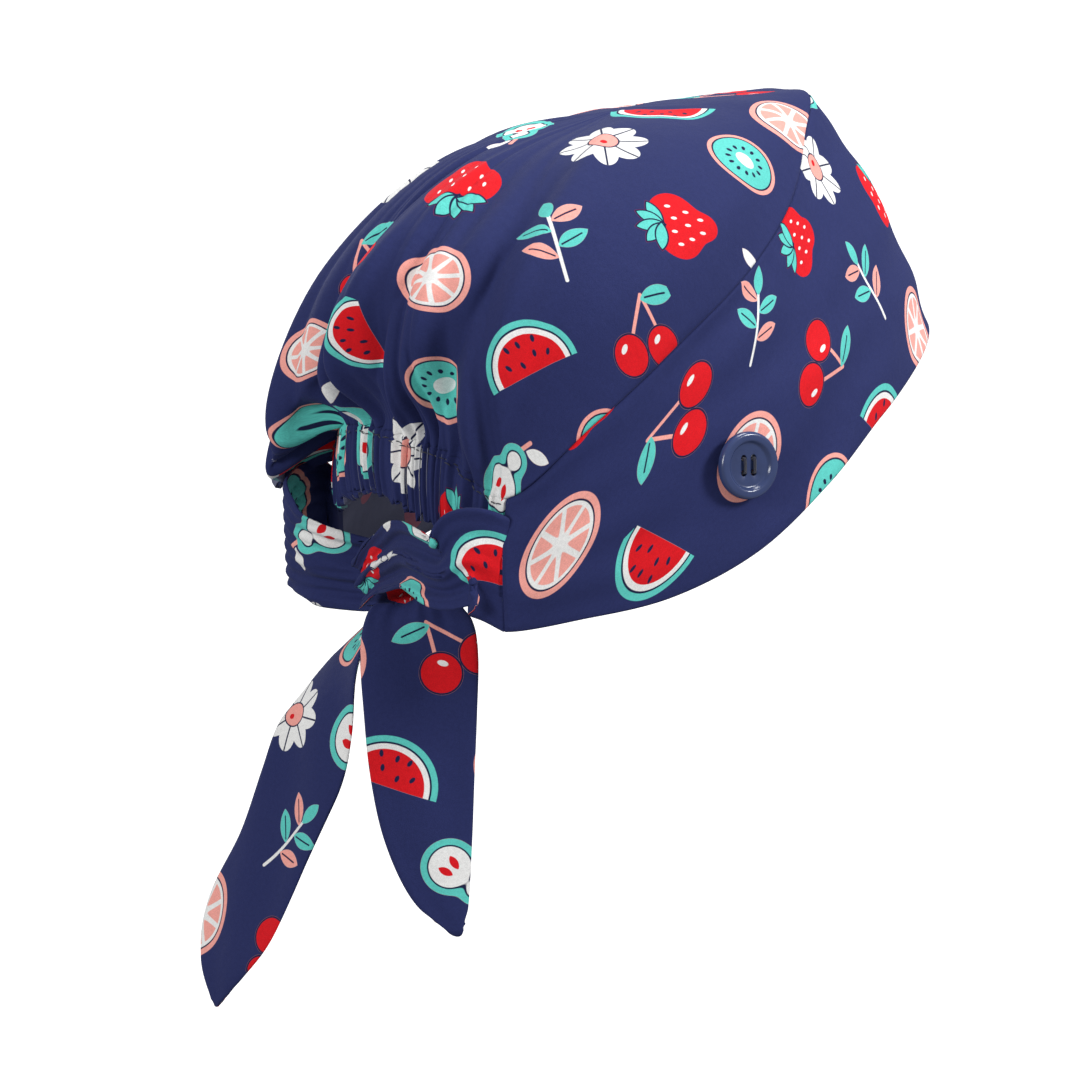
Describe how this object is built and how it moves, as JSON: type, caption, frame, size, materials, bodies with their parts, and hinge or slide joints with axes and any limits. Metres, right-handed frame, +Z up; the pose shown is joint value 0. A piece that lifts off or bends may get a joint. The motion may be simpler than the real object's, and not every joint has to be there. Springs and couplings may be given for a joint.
{
  "type": "tie-back scrub cap",
  "caption": "Surgical scrub cap with a gathered crown, deep band, elasticated back, knotted ties with hanging tails and a mask button over each ear.",
  "frame": {"origin": "centre of the head opening, where the head sits, midway between the ears and between forehead and knot", "axes": "+Z up, +X to the wearer's left, +Y to the back of the head"},
  "size_m": [0.1694, 0.2237, 0.2849],
  "materials": {
    "navy_cotton": "matte",
    "button_plastic": "satin",
    "sewing_thread": "matte"
  },
  "bodies": {
    "root": {"crown": "navy_cotton", "band": "navy_cotton", "elastic_channel": "navy_cotton", "right_tie": "navy_cotton", "left_tie": "navy_cotton", "right_tail": "navy_cotton", "button_right": "button_plastic", "button_thread_right": "sewing_thread", "button_left": "button_plastic", "button_thread_left": "sewing_thread"}
  },
  "joints": []
}
